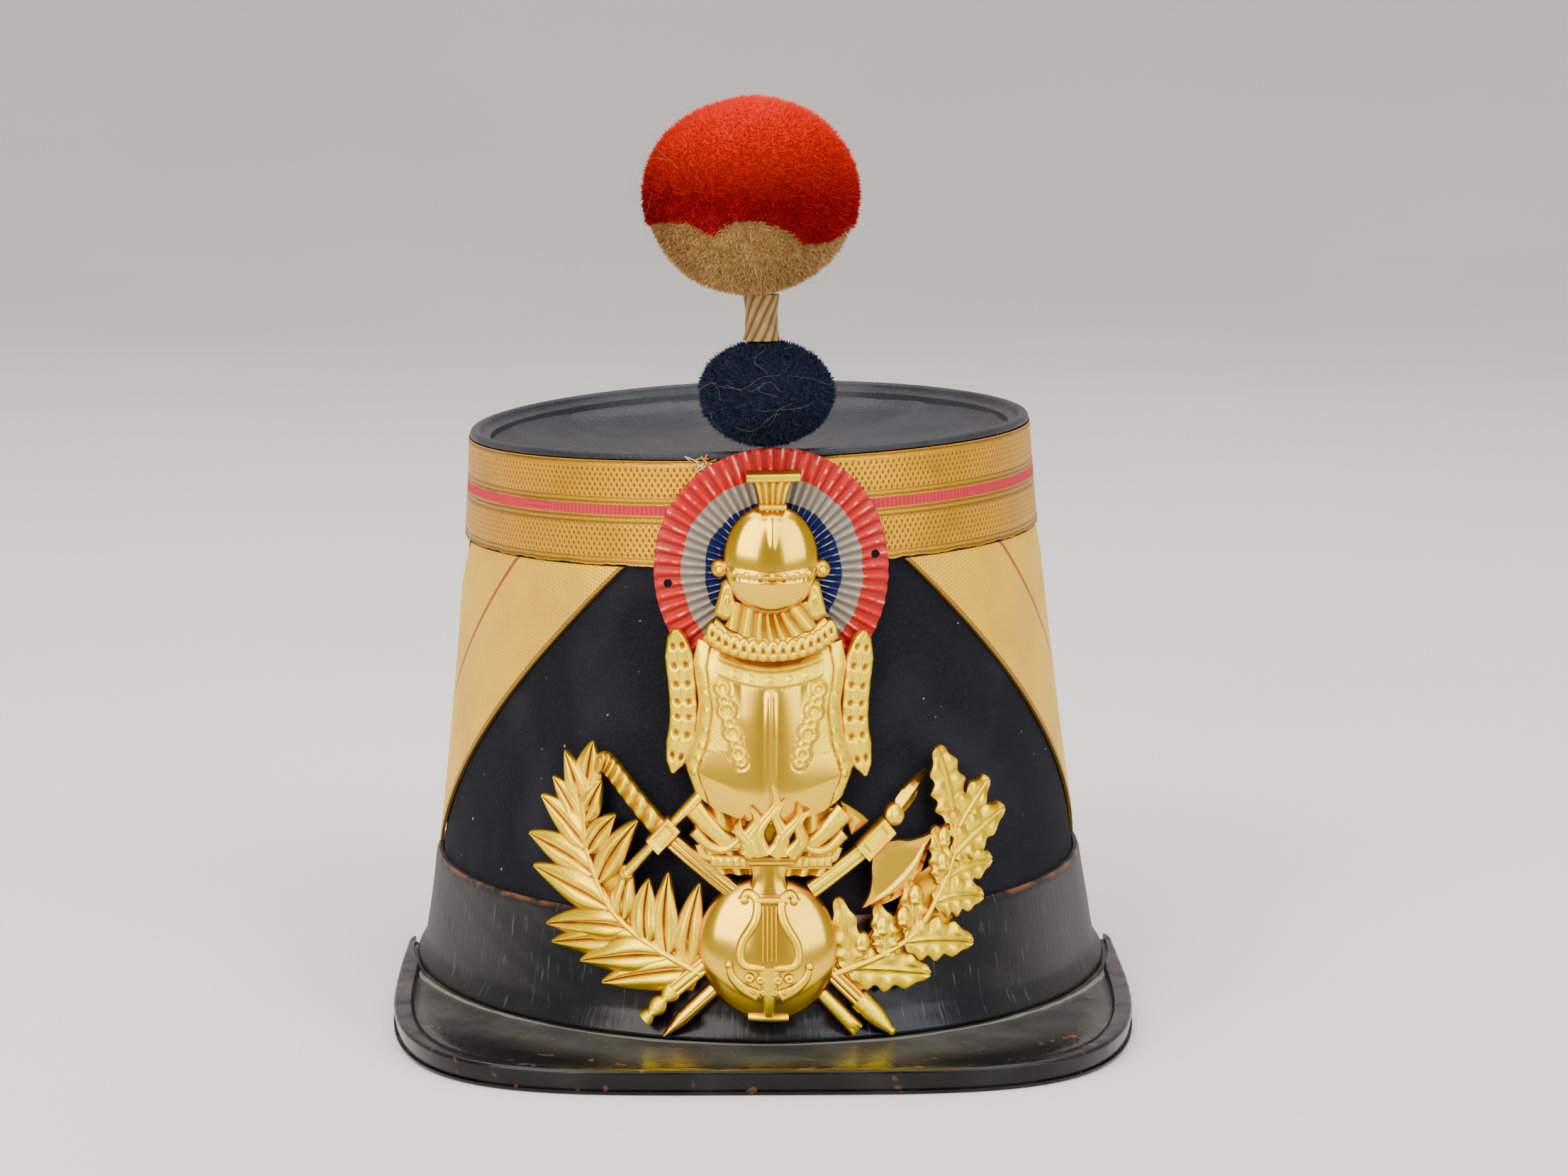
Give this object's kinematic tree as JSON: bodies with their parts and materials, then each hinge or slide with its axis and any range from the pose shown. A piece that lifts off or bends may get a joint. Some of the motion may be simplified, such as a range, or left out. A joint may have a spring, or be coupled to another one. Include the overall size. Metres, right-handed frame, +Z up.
{
  "type": "shako hat",
  "caption": "Stiff oval shako with gold lace, leather band and visor, pleated cockade, stamped brass emblem and two-ball wool pompom.",
  "frame": {"origin": "middle of the hat's foot: centre of the bounding box in X and Y, on the surface it stands on", "axes": "+Z up, -Y to the front (visor and emblem), +X to the right as seen from the front"},
  "size_m": [0.1848, 0.2472, 0.2275],
  "materials": {
    "cloth": "napped wool cloth, matt",
    "black_leather": "worn polished leather",
    "visor_leather": "worn dull leather",
    "gold_lace": "woven gilt lace with a red stripe",
    "pale_lace": "woven gilt lace, paler",
    "painted_sheet": "pleated sheet painted in red, silver and blue rings",
    "brass": "stamped gilt brass, matt with burnished parts",
    "red_wool": "cropped wool pile, red over buff",
    "navy_wool": "cropped wool pile",
    "cord": "twisted cord wrapping",
    "steel": "drawn wire"
  },
  "bodies": {
    "root": {"body_shell": "cloth", "crown_top": "black_leather", "top_lace": "gold_lace", "side_chevron_right": "pale_lace", "side_chevron_left": "pale_lace", "leather_band": "black_leather", "visor": "visor_leather", "visor_binding": "black_leather", "cockade": "painted_sheet", "emblem": "brass", "pompom_wire": "steel", "pompom_small_ball": "navy_wool", "pompom_stem": "cord", "pompom_big_ball": "red_wool"}
  },
  "joints": []
}
